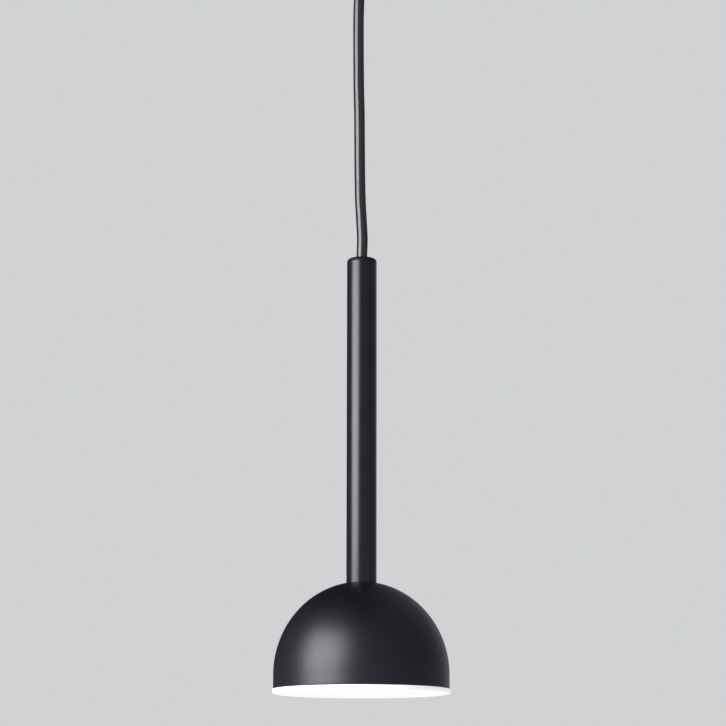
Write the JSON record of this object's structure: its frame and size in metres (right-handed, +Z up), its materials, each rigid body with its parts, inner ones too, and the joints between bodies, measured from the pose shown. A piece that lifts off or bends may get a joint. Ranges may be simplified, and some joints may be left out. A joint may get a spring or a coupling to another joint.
{
  "type": "pendant ceiling light",
  "caption": "Black dome pendant light: opal diffuser under a spun dome on a slim tube stem, hung by a round cord from a ceiling canopy",
  "frame": {"origin": "middle of the ceiling bracket's top face, in the plane of the ceiling", "axes": "+Z up, the lamp hangs down -Z, and the two ceiling screw slots lie along X"},
  "size_m": [0.1264, 0.1264, 0.5954],
  "materials": {
    "black_metal": "satin",
    "black_nylon": "matte",
    "black_rubber": "matte",
    "cord_jacket": "satin",
    "zinc_steel": "satin",
    "spring_steel": "satin",
    "nickel": "polished",
    "brass": "satin",
    "white_nylon": "satin",
    "ceramic": "matte",
    "brown_core": "satin",
    "blue_core": "satin",
    "earth_core": "satin",
    "frosted_envelope": "satin",
    "opal_acrylic": "satin"
  },
  "bodies": {
    "ceiling": {"ceiling_bracket": "zinc_steel", "terminal_block": "white_nylon", "terminal_screws": "brass", "block_fixing_screw": "zinc_steel", "bracket_earth_screw": "brass", "canopy_side_screws": "black_metal"},
    "canopy": {"canopy_cup": "black_metal", "cord_gland": "black_nylon", "gland_nut": "zinc_steel", "gland_grub_screw": "black_nylon", "gland_collar": "black_nylon", "cord_in_canopy": "cord_jacket", "canopy_live_core": "brown_core", "canopy_neutral_core": "blue_core", "canopy_earth_core": "earth_core"},
    "gland_ball": {"gland_ball": "black_rubber"},
    "cord": {"cord": "cord_jacket"},
    "lamp": {"stem_cap": "black_metal", "cord_bushing": "black_rubber", "cord_clamp_screw": "zinc_steel", "cord_in_stem": "cord_jacket", "stem_tube": "black_metal", "stem_plug": "zinc_steel", "threaded_nipple": "zinc_steel", "dome_shade": "black_metal", "dome_washer": "zinc_steel", "lock_washer": "zinc_steel", "nipple_nut": "zinc_steel", "holder_bracket": "zinc_steel", "lampholder": "ceramic", "holder_contacts": "brass", "holder_screws": "zinc_steel", "earth_tag": "brass", "earth_screw": "brass", "live_core": "brown_core", "neutral_core": "blue_core", "earth_core": "earth_core"},
    "bulb": {"bulb_base": "ceramic", "bulb_pins": "nickel", "bulb_envelope": "frosted_envelope"},
    "diffuser": {"diffuser": "opal_acrylic", "diffuser_clips": "spring_steel", "clip_rivets": "zinc_steel"}
  },
  "joints": [
    {"name": "canopy_drop", "type": "slide", "parent": "ceiling", "child": "canopy", "axis": [0, 0, -1], "range_m": [0, 0.04], "deforming": ["canopy_live_core", "canopy_neutral_core", "canopy_earth_core"]},
    {"name": "swing_front", "type": "hinge", "parent": "canopy", "child": "gland_ball", "pos_m": [0, 0, -0.04], "axis": [1, 0, 0], "range_deg": [-15, 15]},
    {"name": "swing_side", "type": "hinge", "parent": "gland_ball", "child": "cord", "pos_m": [0, 0, -0.04], "axis": [0, 1, 0], "range_deg": [-15, 15], "deforming": ["cord"]},
    {"name": "lamp_turn", "type": "hinge", "parent": "cord", "child": "lamp", "pos_m": [0, 0, -0.28], "axis": [0, 0, 1], "range_deg": [-180, 180]},
    {"name": "bulb_pull", "type": "slide", "parent": "lamp", "child": "bulb", "axis": [0, 0, -1], "range_m": [0, 0.0105]},
    {"name": "diffuser_pull", "type": "slide", "parent": "lamp", "child": "diffuser", "axis": [0, 0, -1], "range_m": [0, 0.05]}
  ]
}
